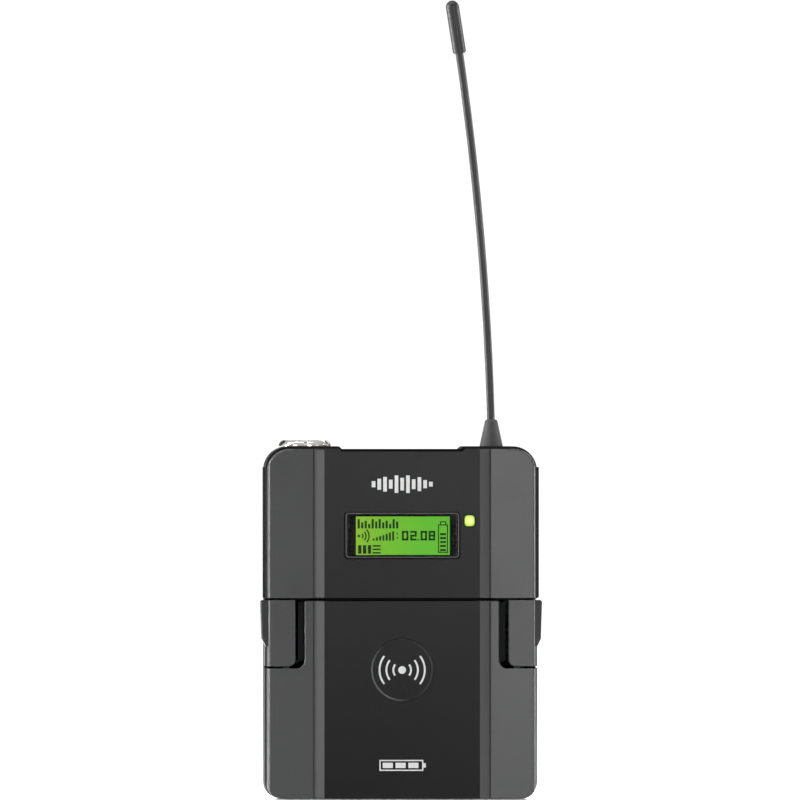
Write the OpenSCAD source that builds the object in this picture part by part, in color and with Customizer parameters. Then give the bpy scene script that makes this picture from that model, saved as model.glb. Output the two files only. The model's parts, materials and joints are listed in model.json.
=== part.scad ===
// Belt-worn radio transmitter for an electric guitar, in millimetres.
// X runs to the wearer's right of the display, the front faces -Y and the aerial points up +Z.
// The origin is the middle of the flat base, level with the middle of the casing's depth.

/* [Body] */
// Width across the sides of the casing, without the finger pads
body_w = 67; // [66.8:0.1:67.4]
// Height to the middle of the top
body_h = 86; // [85.6:0.1:86.6]
// Thickness from the raised front panel to the back
body_d = 24; // [24:0.2:25]
// Thickness of the casting walls
wall = 1.8; // [1.6:0.1:1.9]
// Radius of the two top corners
top_r = 6; // [5:0.5:7]
// Radius of the two bottom corners
bottom_r = 4; // [3.5:0.5:4.5]
// Height of the top's two shoulders above its middle
shoulder_rise = 0.7; // [0.5:0.1:0.9]
// Half width of the low middle of the top
shoulder_x = 14.9; // [14.5:0.1:15.4]

/* [Front face] */
// Half width of the raised middle panel
panel_x = 19.1; // [18.8:0.1:19.4]
// Half width at the foot of the panel's slanted sides
slope_x = 21.6; // [21.2:0.1:22]
// Depth from the middle panel back to the side fields
panel_rise = 1; // [0.8:0.1:1.2]
// Half width of the whole front face
face_x = 32.8; // [32.6:0.1:32.9]
// Distance that the side fields lean back from the groove to the outer edge
field_lean = 1.1; // [0.9:0.1:1.2]
// Distance that the cover and door stand in from the housing behind them
cover_inset = 0.3; // [0.2:0.1:0.4]

/* [Door and tabs] */
// Height of the seam between the upper cover and the battery door
seam_z = 49; // [48.8:0.1:49.2]
// Half width of the door between its two release tabs
door_neck_x = 23.95; // [23.6:0.1:24.2]
// Travel of a release tab when it is pinched
tab_travel = 1.6; // [1.2:0.1:1.7]
// Radius of the shallow dish in the door
dish_r = 7.75; // [7:0.25:8.5]

/* [Display] */
// Width of the display window
window_w = 28.6; // [28:0.1:29]
// Height of the display window
window_h = 11.7; // [11.4:0.1:12]
// Height of the window's middle above the base
window_z = 64.75; // [64.5:0.05:65]

/* [Socket and aerial] */
// Inner radius of the instrument socket
socket_r = 4.55; // [4.4:0.05:4.6]
// Radius of the aerial whip
whip_r = 0.95; // [0.9:0.05:1]
// Bend radius of the aerial whip
whip_bend = 775; // [700:25:900]
// Degrees through which the whip bends
whip_angle = 7.25; // [6.5:0.05:7.5]

/* [Belt clip] */
// Radius of the clip's spring wire
wire_r = 1; // [0.9:0.05:1]
// Half distance between the clip's two side wires
clip_x = 20.4; // [20.2:0.1:21]

/* [Hidden] */
$fn = 48;
eps = 0.01;

// Planes along Y, front to back
front_y = -body_d / 2;
field_y = front_y + panel_rise;
edge_y = field_y + field_lean;
split_y = -5.2;
back_y = body_d / 2;

// Heights
shoulder_z = body_h + shoulder_rise;
cover_z = seam_z + 0.4;
door_top = seam_z - 0.3;
fit_gap = 0.2;
rail = 0.5;
rail_top = 81.6;
skin = 1.6;
back_r = 3;

// Battery door hinge
hinge_r = 2.2;
hinge_y = split_y - hinge_r - 0.25;
hinge_z = hinge_r;
pin_r = 0.8;
ear_x = [27.4, 29.2];
knuckle_x = [29.4, 32.2];

// Release tabs
tab_x = door_neck_x + tab_travel + 0.65;
tab_z = [32.6, seam_z - 0.15];
tab_back_y = 1.8;
tab_corner_r = 1.7;
tab_skin = 1.4;
guide_y = -2.5;
guide_z = 41.5;
guide_r = 1;
tongue_x = [27.6, 29.2];
tongue_y = [-8.2, -7.4];
wing_x = [24.6, 25.6];

// Keys under the door
panel_y = [-8.8, -7.8];
key_x = [-10, 0, 10];
key_z = 41.5;
key_w = 6;
key_h = 4.2;
infrared_x = 18.6;

// Display and lamp
lens_y = [front_y + 0.4, front_y + 1.1];
lamp_x = 16.6;
lamp_z = 68.4;
lamp_w = 2.45;
lamp_h = 2.7;

// Top fittings
fitting_y = 1.4;
socket_x = -23.5;
aerial_x = 22.5;
shell_r = 5.3;
nut_r = 6.4;
flange_r = 6.4;
nut_z = [shoulder_z, 88.2];
shell_top = 88.2;
mouth_low = 86.7;
groove_low = 85.5;
insert_z = [72, 78];
contact_r = 0.55;
contact_ring = 2;
switch_y = 3;
switch_on_x = 2;

// Batteries
cell_r = 7.25;
cell_len = 49.5;
cell_y = -1.4;
cell_z = [9.9, 25.3];
cell_shift = 1.65;
nub_r = 2.75;
nub_len = 1;
tray_x = 28.2;
plate_t = 0.3;
bay_r = 7.45;

// Boards
board_y = [7.4, 8.4];
display_board_y = [-5.5, -4.5];

// Screws
tower_x = 29.6;
tower_z = 60;
low_screw_x = 20;
low_screw_z = 17.6;
head_r = 1.9;
head_h = 1.4;
shank_r = 1;

// Belt clip
clip_y = back_y + 5.5;
clip_z = 69;
clip_lean = 22;
clip_flare = 28;
ball_extra = 0.02;
lug_x = [15.6, 18.6];
lug_r = 2.3;

// Placing and profiles

module along_x(x0, x1) {
    translate([x0, 0, 0]) rotate([90, 0, 90]) linear_extrude(height = x1 - x0) children();
}

module along_y(y0, y1) {
    translate([0, y1, 0]) rotate([90, 0, 0]) linear_extrude(height = y1 - y0) children();
}

module along_z(z0, z1) {
    translate([0, 0, z0]) linear_extrude(height = z1 - z0) children();
}

module both_sides() {
    children();
    mirror([1, 0, 0]) children();
}

module block(x, y, z) {
    translate([x[0], y[0], z[0]]) cube([x[1] - x[0], y[1] - y[0], z[1] - z[0]]);
}

// A disc or rod along X between two X values
module rod_x(x, y, z, r) {
    translate([x[0], y, z]) rotate([0, 90, 0]) cylinder(h = x[1] - x[0], r = r);
}

// A disc or rod along Y between two Y values
module rod_y(x, y, z, r) {
    translate([x, y[0], z]) rotate([-90, 0, 0]) cylinder(h = y[1] - y[0], r = r);
}

// A rectangle with round corners, centred
module round_rect(w, h, r) {
    square([w - 2 * r, h], center = true);
    square([w, h - 2 * r], center = true);
    for (x = [-1, 1], y = [-1, 1])
        translate([x * (w / 2 - r), y * (h / 2 - r)]) circle(r);
}

// The casing seen from the front, pulled in by t, from height z0 to z1
module front_shape(t, z0, z1) {
    w = body_w / 2 - t;
    lo = bottom_r - t;
    hi = top_r - t;
    translate([-w, z0 + lo]) square([2 * w, z1 - z0 - lo - hi]);
    translate([lo - w, z0]) square([2 * (w - lo), lo]);
    translate([hi - w, z1 - hi]) square([2 * (w - hi), hi]);
    for (s = [-1, 1]) {
        translate([s * (w - lo), z0 + lo]) circle(lo);
        translate([s * (w - hi), z1 - hi]) circle(hi);
    }
}

// The outline of the cover and door, which stand in a little from the housing
module cover_outline() {
    front_shape(cover_inset, 0, body_h + 0.05);
}

// The housing's outline, with the low middle of the top cut out
module outline() {
    difference() {
        front_shape(0, 0, shoulder_z);
        polygon(two_sided([[shoulder_x - 0.4, body_h], [shoulder_x + 0.4, shoulder_z + eps]]));
    }
}

module cavity_outline() {
    front_shape(wall, wall, body_h - wall);
}

// Mirrors a list of points on the right into a closed left-and-right outline
function two_sided(points) = concat(
    points,
    [for (i = [len(points) - 1:-1:0]) [-points[i][0], points[i][1]]]
);

// Front half of the cross-section: raised panel, slanted strips, a fine groove and leaning fields
module front_section(back) {
    polygon(two_sided([
        [body_w / 2 - cover_inset, back], [face_x, edge_y], [slope_x + 0.35, field_y],
        [slope_x + 0.35, field_y + 0.25], [slope_x, field_y + 0.25], [panel_x, front_y]
    ]));
}

// The same cross-section pulled in by the skin's thickness t
module front_hollow(back, t) {
    polygon(two_sided([
        [body_w / 2 - cover_inset - t, back], [face_x - t, edge_y + t],
        [slope_x - t / 3, field_y + t], [panel_x - t / 3, front_y + t]
    ]));
}

module rear_section(t) {
    w = body_w / 2 - t;
    r = back_r - t;
    translate([-w, split_y - t]) square([2 * w, back_y - back_r - split_y + t]);
    translate([r - w, back_y - back_r - eps]) square([2 * (w - r), r + eps]);
    for (s = [-1, 1])
        translate([s * (w - r), back_y - back_r]) circle(r);
}

// A tube swept along points, as one polyhedron; up is a direction that the path never follows
function unit(v) = v / norm(v);
function heading(p, i) = unit(p[min(i + 1, len(p) - 1)] - p[max(i - 1, 0)]);

module sweep(points, r, sides, up) {
    n = len(points);
    rings = [
        for (i = [0:n - 1])
            let (d = heading(points, i), u = unit(cross(d, up)), v = cross(d, u))
                for (k = [0:sides - 1])
                    points[i] + r * (cos(360 * k / sides) * u + sin(360 * k / sides) * v)
    ];
    walls = [
        for (i = [0:n - 2], k = [0:sides - 1])
            let (a = i * sides + k, b = i * sides + (k + 1) % sides)
                each [[a, b, b + sides], [a, b + sides, a + sides]]
    ];
    ends = [[for (k = [sides - 1:-1:0]) k], [for (k = [0:sides - 1]) (n - 1) * sides + k]];
    polyhedron(rings, concat(walls, ends), convexity = 6);
}

// A helix along +X from x0, tapering from radius r0 to r1
function helix(x0, length, r0, r1, turns, steps) = [
    for (i = [0:turns * steps])
        let (f = i / (turns * steps), r = r0 + (r1 - r0) * f, a = 360 * i / steps)
            [x0 + length * f, r * cos(a), r * sin(a)]
];

// Wire pieces that follow one another: each runs up +Z and puts its children on its end.
// A ball a hair thicker than the wire joins one piece to the next.
module wire(length, r) {
    cylinder(h = length, r = r);
    translate([0, 0, length]) children();
}

module wire_bend(bend, angle, r) {
    sphere(r + ball_extra);
    multmatrix([[-1, 0, 0, bend], [0, 0, 1, 0], [0, 1, 0, 0], [0, 0, 0, 1]])
        rotate_extrude(angle = angle) translate([bend, 0]) circle(r);
    wire_end(bend, angle) {
        if ($children > 0) sphere(r + ball_extra);
        children();
    }
}

// The end of a wire bend, with nothing drawn along it
module wire_end(bend, angle) {
    translate([bend * (1 - cos(angle)), 0, bend * sin(angle)]) rotate([0, angle, 0]) children();
}

// Casing

module hinge_ears() {
    both_sides() difference() {
        union() {
            rod_x(ear_x, hinge_y, hinge_z, hinge_r - 0.2);
            block(ear_x, [hinge_y, split_y + 0.2], [0.2, 2 * hinge_r - 0.4]);
            block(ear_x, [hinge_y, split_y + wall], [0.2, wall + 0.1]);
        }
        rod_x([ear_x[0] - 1, ear_x[1] + 1], hinge_y, hinge_z, pin_r);
    }
}

module clip_lugs() {
    both_sides() difference() {
        along_x(lug_x[0], lug_x[1]) union() {
            translate([clip_y, clip_z]) circle(lug_r);
            translate([back_y - 1, clip_z - lug_r]) square([clip_y - back_y + 1, 2 * lug_r]);
        }
        rod_x([lug_x[0] - 1, lug_x[1] + 1], clip_y, clip_z, wire_r + 0.05);
    }
}

module screw_towers() {
    both_sides() {
        rod_y(tower_x, [2, back_y - 1], tower_z, 2.6);
        rod_y(low_screw_x, [board_y[1], back_y - 1], low_screw_z, 2.6);
    }
}

module screw_holes() {
    both_sides() {
        rod_y(tower_x, [0, back_y], tower_z, shank_r + 0.1);
        rod_y(tower_x, [back_y - head_h - 0.1, back_y + 1], tower_z, head_r + 0.1);
        rod_y(low_screw_x, [0, back_y], low_screw_z, shank_r + 0.1);
        rod_y(low_screw_x, [back_y - head_h - 0.1, back_y + 1], low_screw_z, head_r + 0.1);
    }
}

module tab_openings() {
    both_sides() block([30, 40], [split_y - 1, tab_back_y + 0.4], [tab_z[0] - 0.4, tab_z[1] + 0.35]);
}

module rear_housing() color([0.13, 0.13, 0.14]) {
    difference() {
        union() {
            difference() {
                union() {
                    intersection() {
                        along_y(split_y, back_y) outline();
                        along_z(-1, shoulder_z + 1) rear_section(0);
                    }
                    both_sides()
                        block([body_w / 2 - 1, body_w / 2 + rail], [split_y + 0.6, -1], [cover_z, rail_top]);
                }
                intersection() {
                    along_y(split_y - 1, back_y - wall) cavity_outline();
                    along_z(0, shoulder_z) rear_section(wall);
                }
            }
            screw_towers();
            block([-8.8, 8.8], [switch_y - 4.8, switch_y + 4.8], [82.4, body_h - 1]);
        }
        screw_holes();
        tab_openings();
        translate([socket_x, fitting_y, 80]) cylinder(h = 10, r = shell_r + 0.05);
        translate([socket_x, fitting_y, 80]) cylinder(h = body_h - wall - 80, r = flange_r + 0.1);
        translate([aerial_x, fitting_y, 80]) cylinder(h = 10, r = 2.7);
        along_z(body_h - 1.5, body_h + 1) translate([0, switch_y]) round_rect(14, 6.4, 1.5);
        block([-3.4, 3.4], [switch_y - 1.25, switch_y + 1.25], [80, body_h]);
        along_y(back_y - 0.25, back_y + 1) translate([0, 42]) round_rect(30.2, 14.2, 1.1);
        both_sides() translate([8, 4, -1]) cylinder(h = 4, r = 1.65);
    }
    hinge_ears();
    clip_lugs();
}

module front_cover() color([0.16, 0.16, 0.17]) {
    difference() {
        union() {
            difference() {
                intersection() {
                    along_y(front_y - 1, split_y) cover_outline();
                    along_z(cover_z, shoulder_z + 1) front_section(split_y);
                }
                intersection() {
                    along_y(front_y - 1, split_y + 1) cavity_outline();
                    along_z(cover_z - 1, shoulder_z) front_hollow(split_y + 1, skin);
                }
            }
            both_sides() {
                rod_y(tower_x, [edge_y + 0.8, split_y - 0.3], tower_z, 2.6);
                rod_y(tower_x, [edge_y + 0.8, 2], tower_z, 1.9);
            }
        }
        along_y(front_y - 1, lens_y[1]) translate([0, window_z]) round_rect(window_w, window_h, 1);
        along_y(front_y - 1, split_y) translate([0, window_z])
            round_rect(window_w - 2, window_h - 1.3, 0.5);
        along_y(front_y - 1, split_y) translate([lamp_x, lamp_z])
            round_rect(lamp_w + 0.1, lamp_h + 0.1, 0.75);
        both_sides() rod_y(tower_x, [-5, 3], tower_z, shank_r);
    }
}

// Display

module display_window() color([0.1, 0.1, 0.1, 0.4]) {
    along_y(lens_y[0], lens_y[1]) translate([0, window_z])
        round_rect(window_w - 0.1, window_h - 0.1, 0.95);
}

module lcd_glass() color([0.4, 0.75, 0.2]) {
    block([-13.5, 13.5], [-10, -8.7], [window_z - 6.2, window_z + 6.2]);
}

module lcd_frame() color([0.05, 0.05, 0.05]) {
    difference() {
        block([-15, 15], [-10.3, display_board_y[0]], [window_z - 7.7, window_z + 7.7]);
        block([-13.6, 13.6], [-11, -5], [window_z - 6.3, window_z + 6.3]);
    }
}

module backlight() color([0.9, 0.95, 0.8]) {
    block([-13.5, 13.5], [-8.7, display_board_y[0]], [window_z - 6.2, window_z + 6.2]);
}

module status_lamp() color([0.75, 0.95, 0.3]) {
    along_y(front_y - 0.15, display_board_y[0]) translate([lamp_x, lamp_z])
        round_rect(lamp_w, lamp_h, 0.7);
}

// Boards

module display_board() color([0.05, 0.3, 0.15]) {
    block([-17.5, 20], display_board_y, [34.5, 75]);
}

module main_board() color([0.05, 0.3, 0.15]) {
    difference() {
        block([-31, 31], board_y, [5, 81]);
        both_sides() {
            rod_y(low_screw_x, [board_y[0] - 1, board_y[1] + 1], low_screw_z, shank_r + 0.1);
            block([26.8, 32], [board_y[0] - 1, board_y[1] + 1], [tower_z - 3, tower_z + 3]);
        }
    }
}

module rf_shield() color([0.75, 0.76, 0.78]) {
    difference() {
        block([6, 26.4], [4, board_y[0]], [60, 76.2]);
        block([6.4, 26], [4.4, board_y[0] + 1], [60.4, 75.8]);
    }
}

module board_chips() color([0.08, 0.08, 0.09]) {
    for (chip = [[-22, 40, 9, 9, 1.2], [-4, 42, 12, 10, 1.4], [14, 40, 7, 7, 1], [-12, 58, 8, 5, 1.1]])
        block(
            [chip[0] - chip[2] / 2, chip[0] + chip[2] / 2],
            [board_y[0] - chip[4], board_y[0]],
            [chip[1] - chip[3] / 2, chip[1] + chip[3] / 2]
        );
    for (x = [16, 20, 24])
        rod_y(x, [board_y[0] - 3, board_y[0]], 52, 1.6);
}

module board_link() color([0.85, 0.82, 0.7]) {
    block([-8, 8], [display_board_y[1], board_y[0]], [51, 54]);
}

// Keys and the panel behind the door

module inner_panel() color([0.09, 0.09, 0.1]) {
    difference() {
        union() {
            block([-wing_x[1], wing_x[1]], panel_y, [33.9, 48.4]);
            block([-18, 18], panel_y, [48, 51.4]);
            both_sides() block(wing_x, [panel_y[0], 1.6], [34.2, 48.2]);
            both_sides() for (z = [36.6, 47])
                rod_y(14.9, [panel_y[1] - eps, display_board_y[0]], z, 1);
        }
        for (x = key_x)
            along_y(-10, -7) translate([x, key_z]) round_rect(key_w + 0.2, key_h + 0.2, 0.9);
        along_y(-10, -7) translate([infrared_x, key_z]) round_rect(4.2, 5.2, 1);
        both_sides() rod_x([20, 30], guide_y, guide_z, guide_r + 0.05);
    }
}

module infrared_window() color([0.25, 0.02, 0.05]) {
    along_y(panel_y[0] - 0.2, panel_y[1]) translate([infrared_x, key_z]) round_rect(4.1, 5.1, 0.95);
}

// A key cap with a flange that stops behind the panel, and a stem over its switch
module key(x) {
    along_y(panel_y[0] - 1, panel_y[1] + 0.1) translate([x, key_z]) round_rect(key_w, key_h, 0.8);
    along_y(panel_y[1] + 0.1, panel_y[1] + 0.7) translate([x, key_z])
        round_rect(key_w + 1.2, key_h + 1.2, 0.8);
    rod_y(x, [panel_y[1] + 0.6, -6.85], key_z, 0.9);
}

module set_key() color([0.35, 0.36, 0.38]) key(key_x[0]);

module up_key() color([0.35, 0.36, 0.38]) key(key_x[2]);

module down_key() color([0.35, 0.36, 0.38]) key(key_x[1]);

module key_switches() color([0.7, 0.7, 0.72]) {
    for (x = key_x)
        block([x - 2.2, x + 2.2], [-6.3, display_board_y[0]], [key_z - 2.2, key_z + 2.2]);
}

// Batteries

module battery_tray() color([0.1, 0.1, 0.11]) {
    difference() {
        union() {
            block([-tray_x - 1.1, tray_x + 1.1], [split_y + 0.3, 6.85], [2, 33.2]);
            both_sides() block([tray_x, tray_x + 1.1], [-6.8, 0], [5, 31]);
        }
        for (z = cell_z) {
            rod_x([-tray_x, tray_x], cell_y, z, bay_r);
            block([-tray_x, tray_x], [-20, cell_y], [z - bay_r, z + bay_r]);
        }
        both_sides() rod_y(low_screw_x, [2.6, 8], low_screw_z, shank_r);
    }
    both_sides() difference() {
        rod_y(low_screw_x, [6.8, board_y[0]], low_screw_z, 2.2);
        rod_y(low_screw_x, [6, 8], low_screw_z, shank_r);
    }
}

// A cylindrical cell whose positive end faces +X when side is 1, and -X when it is -1
module cell(z, side) {
    far = cell_shift + cell_len / 2;
    mirror([side < 0 ? 1 : 0, 0, 0]) {
        rod_x([far - cell_len, far], cell_y, z, cell_r);
        rod_x([far, far + nub_len], cell_y, z, nub_r);
    }
}

module lower_cell() color([0.75, 0.5, 0.2]) cell(cell_z[0], 1);

module upper_cell() color([0.75, 0.5, 0.2]) cell(cell_z[1], -1);

// A conical coil from the contact plate to the cell's negative end
module contact_spring() {
    free = tray_x - plate_t;
    reach = free - (cell_len / 2 - cell_shift);
    translate([0, cell_y, 0])
        sweep(helix(0.3 - free, reach - 0.6, 4.4, 2.2, 4, 14), 0.3, 6, [1, 0, 0]);
}

module contact_springs() color([0.75, 0.75, 0.7]) {
    translate([0, 0, cell_z[0]]) contact_spring();
    mirror([1, 0, 0]) translate([0, 0, cell_z[1]]) contact_spring();
}

module contact_plates() color([0.8, 0.8, 0.75]) {
    both_sides() for (z = cell_z)
        block([tray_x - plate_t, tray_x], [cell_y - 5, cell_y + 5], [z - 5, z + 5]);
    rise = cell_shift + cell_len / 2 + nub_len;
    rod_x([rise, tray_x - plate_t / 2], cell_y, cell_z[0], 2.4);
    rod_x([plate_t / 2 - tray_x, -rise], cell_y, cell_z[1], 2.4);
}

// Instrument socket

module socket_shell() color([0.8, 0.8, 0.8]) {
    translate([socket_x, fitting_y, 0]) difference() {
        union() {
            translate([0, 0, insert_z[0]]) cylinder(h = shell_top - insert_z[0], r = shell_r);
            translate([0, 0, body_h - wall - 2]) cylinder(h = 2, r = flange_r);
        }
        translate([0, 0, insert_z[0] - 1]) cylinder(h = insert_z[1] - insert_z[0] + 1, r = 4.75);
        translate([0, 0, insert_z[1] - eps]) cylinder(h = 12, r = socket_r);
        translate([0, 0, groove_low]) cylinder(h = mouth_low - groove_low, r = 4.85);
    }
}

module socket_nut() color([0.85, 0.85, 0.83]) {
    rim = nut_z[1];
    translate([socket_x, fitting_y, 0]) difference() {
        rotate_extrude() polygon([
            [shell_r, nut_z[0]], [nut_r, nut_z[0]], [nut_r, rim - 1.1], [nut_r - 0.3, rim - 0.5],
            [nut_r - 0.8, rim - 0.1], [nut_r - 1, rim], [shell_r, rim]
        ]);
        for (a = [0:60:300])
            rotate([0, 0, a + 30]) block([shell_r + 0.4, 8], [-0.5, 0.5], [rim - 1, rim + 1]);
    }
}

module contact_places() {
    for (a = [90, 210, 330])
        rotate([0, 0, a]) translate([contact_ring, 0, 0]) children();
}

module socket_insert() color([0.1, 0.1, 0.1]) {
    translate([socket_x, fitting_y, 0]) difference() {
        translate([0, 0, insert_z[0]]) cylinder(h = insert_z[1] - insert_z[0], r = 4.75);
        contact_places() translate([0, 0, insert_z[0] - 1])
            cylinder(h = insert_z[1] - insert_z[0] + 2, r = contact_r);
    }
}

module socket_pins() color([0.85, 0.7, 0.3]) {
    translate([socket_x, fitting_y, 0]) contact_places() {
        translate([0, 0, 70]) cylinder(h = 14.6, r = contact_r);
        translate([0, 0, 84.6]) sphere(contact_r);
    }
}

module socket_board() color([0.05, 0.3, 0.15]) {
    translate([socket_x, fitting_y, 0]) difference() {
        translate([0, 0, 70.6]) cylinder(h = 0.8, r = 5);
        contact_places() translate([0, 0, 70]) cylinder(h = 2, r = contact_r);
    }
}

module audio_ribbon() color([0.75, 0.45, 0.15]) {
    low = 66;
    along_x(socket_x - 3, socket_x + 3) polygon([
        [4.2, 70.6], [4.2, 68], [board_y[0] - 0.3, low + 1], [board_y[0] - 0.3, low - 4],
        [board_y[0], low - 4], [board_y[0], low + 1.2], [4.5, 68.2], [4.5, 70.6]
    ]);
}

// Aerial

module aerial_base() color([0.8, 0.8, 0.8]) {
    translate([aerial_x, fitting_y, 0]) {
        difference() {
            union() {
                translate([0, 0, 82]) cylinder(h = shoulder_z - 82, r = 2.7);
                translate([0, 0, shoulder_z - eps]) cylinder(h = 1.3 + eps, r = 1.9);
            }
            translate([0, 0, shoulder_z]) cylinder(h = 2, r = whip_r);
        }
        translate([0, 0, body_h - wall - 2]) cylinder(h = 2, r = 4);
        translate([0, 0, 79]) cylinder(h = 3.2, r = 1.2);
    }
}

module aerial_boot() color([0.12, 0.12, 0.12]) {
    translate([aerial_x, fitting_y, shoulder_z]) rotate_extrude() difference() {
        union() {
            polygon([[0, 0], [2.9, 0], [1.62, 5.9], [1, 6.6], [0, 6.6]]);
            translate([0.92, 5.9]) circle(0.7);
        }
        translate([-3, -1]) square([3, 9]);
        square([1.9, 1.3]);
        square([whip_r, 8]);
    }
}

module aerial_whip_place() {
    translate([aerial_x, fitting_y, shoulder_z]) rotate([0, 0, 180]) children();
}

module aerial_whip() color([0.1, 0.1, 0.1]) {
    aerial_whip_place() wire(2.3, whip_r) wire_bend(150, 1.6, whip_r)
        wire(0.6, whip_r) wire_bend(whip_bend, whip_angle, whip_r);
}

module aerial_tip() color([0.1, 0.1, 0.1]) {
    aerial_whip_place() translate([0, 0, 2.3]) wire_end(150, 1.6) translate([0, 0, 0.6])
        wire_end(whip_bend, whip_angle) translate([0, 0, -8]) rotate_extrude() difference() {
            union() {
                translate([0, 0.3]) square([1.65, 11.3]);
                square([1.4, 5]);
                translate([0, 11.6]) circle(1.65);
            }
            translate([-3, -1]) square([3, 20]);
            translate([0, -1]) square([whip_r, 9]);
        }
}

module aerial_lead() color([0.15, 0.15, 0.15]) {
    translate([aerial_x, fitting_y, 79]) rotate([180, 0, 0]) rotate([0, 0, -90])
        wire(3, 0.65) wire_bend(1.6, 90, 0.65) cylinder(h = 1, r = 1.3);
}

// Power switch

module power_switch() color([0.15, 0.15, 0.16]) {
    difference() {
        block([-6.5, 6.5], [-0.6, board_y[0]], [76.8, 82.2]);
        block([-3.5, 3.5], [switch_y - 1.3, switch_y + 1.3], [80.6, 83]);
    }
}

module power_slider() color([0.3, 0.3, 0.32]) {
    translate([switch_on_x, switch_y, 0]) {
        difference() {
            along_z(84.7, body_h - 0.1) round_rect(4.6, 5.2, 0.6);
            for (x = [-1.2, 0, 1.2])
                block([x - 0.25, x + 0.25], [-3, 3], [body_h - 0.5, body_h + 1]);
        }
        block([-1.1, 1.1], [-1.1, 1.1], [81, 84.8]);
    }
}

// Battery door

module door_hinge_cut() {
    difference() {
        block([-40, 40], [hinge_y, hinge_y + 5], [-1, hinge_z]);
        rod_x([-41, 41], hinge_y, hinge_z, hinge_r);
    }
}

module door_lip() {
    along_x(-ear_x[0] + 0.3, ear_x[0] - 0.3) intersection() {
        difference() {
            translate([hinge_y, hinge_z]) circle(hinge_r);
            translate([hinge_y, hinge_z]) circle(0.9);
        }
        translate([hinge_y - 1, 0]) square([4, 1.6]);
    }
}

module battery_door() color([0.16, 0.16, 0.17]) {
    difference() {
        intersection() {
            along_y(front_y - 1, split_y) cover_outline();
            union() {
                difference() {
                    along_z(-1, door_top) front_section(split_y - fit_gap);
                    along_z(skin, door_top + 1) front_hollow(split_y, skin);
                    block([-31.9, 31.9], [hinge_y, split_y + 1], [-2, skin + eps]);
                }
                door_lip();
                both_sides() rod_x(knuckle_x, hinge_y, hinge_z, hinge_r);
                both_sides() block([tongue_x[1] + 0.3, 32.6], [-7, -6.1], [28.6, 31.6]);
            }
        }
        door_hinge_cut();
        both_sides() {
            along_y(front_y - 1, split_y + 1) tab_shape(door_neck_x, 32.05, 60, 2.2);
            block([ear_x[0] - 0.3, ear_x[1] + 0.2], [hinge_y - 2.3, split_y + 1], [-1, 4.4]);
            rod_x([knuckle_x[0] - 1, knuckle_x[0] + 1.6], hinge_y, hinge_z, pin_r + 0.05);
        }
        along_y(front_y - 1, front_y + 0.4) translate([0, 31.7]) circle(dish_r);
    }
}

module door_pad() color([0.2, 0.2, 0.22]) {
    block([-18, 18], [front_y + skin, -8.85], [14.6, 20.6]);
}

module door_hinge_pins() color([0.7, 0.7, 0.72]) {
    both_sides() rod_x([ear_x[0], knuckle_x[0] + 1.4], hinge_y, hinge_z, pin_r);
}

// Release tabs

// A corner region of the front from x0 outwards and z0 upwards, with its inner lower corner round
module tab_shape(x0, z0, z1, r) {
    translate([x0 + r, z0]) square([40 - x0 - r, z1 - z0]);
    translate([x0, z0 + r]) square([r, z1 - z0 - r]);
    translate([x0 + r, z0 + r]) circle(r);
}

module tab() {
    intersection() {
        along_y(front_y - 1, tab_back_y) tab_shape(tab_x, tab_z[0], tab_z[1], tab_corner_r);
        along_z(tab_z[0], tab_z[1]) difference() {
            union() {
                front_section(split_y);
                translate([-body_w / 2, split_y - eps])
                    square([body_w, tab_back_y - split_y + 1]);
            }
            front_hollow(tab_back_y + 2, tab_skin);
        }
    }
    difference() {
        along_y(-8.6, -0.6) polygon([
            [body_w / 2 - 1, 37.5], [body_w / 2 - 0.1, 37.5], [body_w / 2 + 0.8, 39.3],
            [body_w / 2 + 1.1, tab_z[1] - 0.4], [body_w / 2 + 0.8, tab_z[1]], [body_w / 2 - 1, tab_z[1]]
        ]);
        for (y = [-7.3:1.45:-1.4])
            block([body_w / 2 + 0.5, body_w / 2 + 2], [y - 0.3, y + 0.3], [39.8, tab_z[1] - 1]);
    }
    rod_x([wing_x[0] - 1, body_w / 2 - 1], guide_y, guide_z, guide_r);
    block(tongue_x, tongue_y, [30, 36]);
    block(tongue_x, [tongue_y[0] - 0.9, tongue_y[1]], [33, 36]);
}

module left_tab() color([0.15, 0.15, 0.16]) mirror([1, 0, 0]) tab();

module right_tab() color([0.15, 0.15, 0.16]) tab();

module tab_spring() {
    room = body_w / 2 - cover_inset - tab_skin - wing_x[1] - 0.2;
    translate([wing_x[1], guide_y, guide_z])
        sweep(helix(0.35, room - 0.7, 1.55, 1.55, 5, 14), 0.25, 6, [1, 0, 0]);
}

module left_tab_spring() color([0.7, 0.7, 0.7]) mirror([1, 0, 0]) tab_spring();

module right_tab_spring() color([0.7, 0.7, 0.7]) tab_spring();

// Belt clip, one half of a bent spring wire from its pivot in a lug to the middle of its loop
module clip_half() {
    translate([lug_x[0] + 0.3, clip_y, clip_z]) rotate([0, 90, 0])
        wire(clip_x - 1.6 - lug_x[0] - 0.3, wire_r) wire_bend(1.6, 90, wire_r)
        wire(24, wire_r) rotate([0, 0, -90]) wire_bend(16, clip_lean, wire_r)
        wire(6.7, wire_r) rotate([0, 0, 180]) wire_bend(7, clip_lean + clip_flare, wire_r)
        wire(1, wire_r) rotate([0, 0, -90]) wire_bend(4.5, 90, wire_r)
        wire(clip_x - 4.5, wire_r) children();
}

module belt_clip() color([0.1, 0.1, 0.11]) {
    clip_half() sphere(wire_r + ball_extra);
    mirror([1, 0, 0]) clip_half();
}

// Small parts

module rating_plate() color([0.3, 0.3, 0.31]) {
    along_y(back_y - 0.25, back_y - 0.02) translate([0, 42]) round_rect(30, 14, 1);
}

module charge_contacts() color([0.85, 0.7, 0.3]) {
    both_sides() translate([8, 4, 0.2]) cylinder(h = 1.7, r = 1.6);
}

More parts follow.
